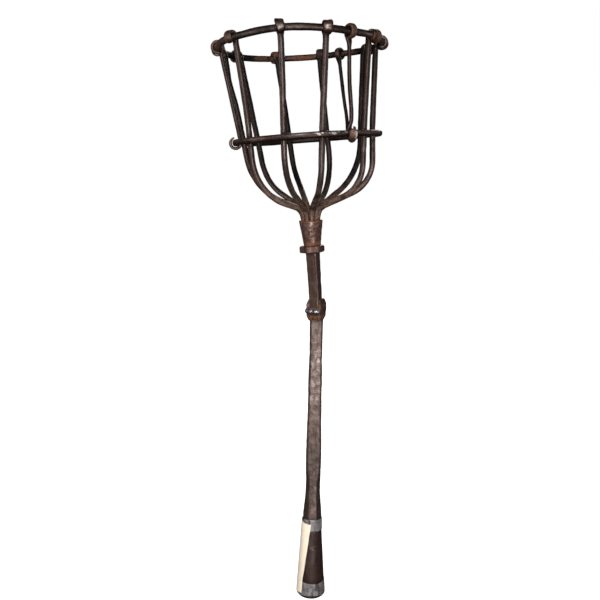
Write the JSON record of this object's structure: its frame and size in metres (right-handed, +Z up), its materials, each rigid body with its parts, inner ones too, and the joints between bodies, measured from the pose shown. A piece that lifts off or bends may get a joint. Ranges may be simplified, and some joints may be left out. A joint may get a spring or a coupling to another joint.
{
  "type": "hand-forged iron cresset",
  "caption": "Dark hand-forged cresset: an open fire basket of round iron bars above a knuckled stem, a chamfered shaft and a tapered pole socket.",
  "frame": {"origin": "centre of the pole socket's open mouth", "axes": "+Z runs up the axis of the socket and shaft towards the basket, -Y is the front seen in the picture, +X is to the viewer's right"},
  "size_m": [0.2256, 0.2199, 0.7934],
  "materials": {
    "forged_iron": "satin",
    "worn_iron": "satin",
    "rusty_iron": "matte",
    "grey_iron": "satin",
    "paper": "matte"
  },
  "bodies": {
    "frame": {"pole_socket": "forged_iron", "socket_mouth_band": "grey_iron", "socket_upper_band": "grey_iron", "socket_rivet": "forged_iron", "inventory_label": "paper", "lower_shaft": "worn_iron", "knuckle": "rusty_iron", "knuckle_bead": "forged_iron", "upper_stem": "forged_iron", "stem_collar": "forged_iron", "bar_cup": "rusty_iron", "bar_01": "forged_iron", "bar_02": "forged_iron", "bar_03": "forged_iron", "bar_04": "forged_iron", "bar_05": "forged_iron", "bar_06": "forged_iron", "bar_07": "forged_iron", "bar_08": "forged_iron", "bar_09": "forged_iron", "bar_10": "forged_iron", "top_ring": "forged_iron"},
    "hoop": {"middle_hoop": "forged_iron"},
    "hanger_left": {"hanger_left": "forged_iron"},
    "hanger_front": {"hanger_front": "forged_iron"},
    "hanger_back": {"hanger_back": "forged_iron"}
  },
  "joints": [
    {"name": "hoop_twist", "type": "hinge", "parent": "frame", "child": "hoop", "pos_m": [-0.01733, 0, 0.66137], "axis": [-0.0854, 0, 0.9963], "range_deg": [-1.5, 1.5]},
    {"name": "hanger_left_swing", "type": "hinge", "parent": "frame", "child": "hanger_left", "pos_m": [-0.13302, -0.01267, 0.77317], "axis": [-0.9748, -0.1212, -0.1873], "range_deg": [-1.3, 1.3]},
    {"name": "hanger_front_swing", "type": "hinge", "parent": "frame", "child": "hanger_front", "pos_m": [0.03029, -0.08467, 0.78374], "axis": [0.5831, -0.8122, -0.0192], "range_deg": [-1.3, 1.3]},
    {"name": "hanger_back_swing", "type": "hinge", "parent": "frame", "child": "hanger_back", "pos_m": [0.02695, 0.08722, 0.77876], "axis": [0.5479, 0.8358, -0.0361], "range_deg": [-1.3, 1.3]}
  ],
  "couplings": [
    {"joint": "hanger_left_swing", "follows": "hoop_twist", "ratio": 0.765},
    {"joint": "hanger_front_swing", "follows": "hoop_twist", "ratio": 0.799},
    {"joint": "hanger_back_swing", "follows": "hoop_twist", "ratio": 0.802}
  ]
}
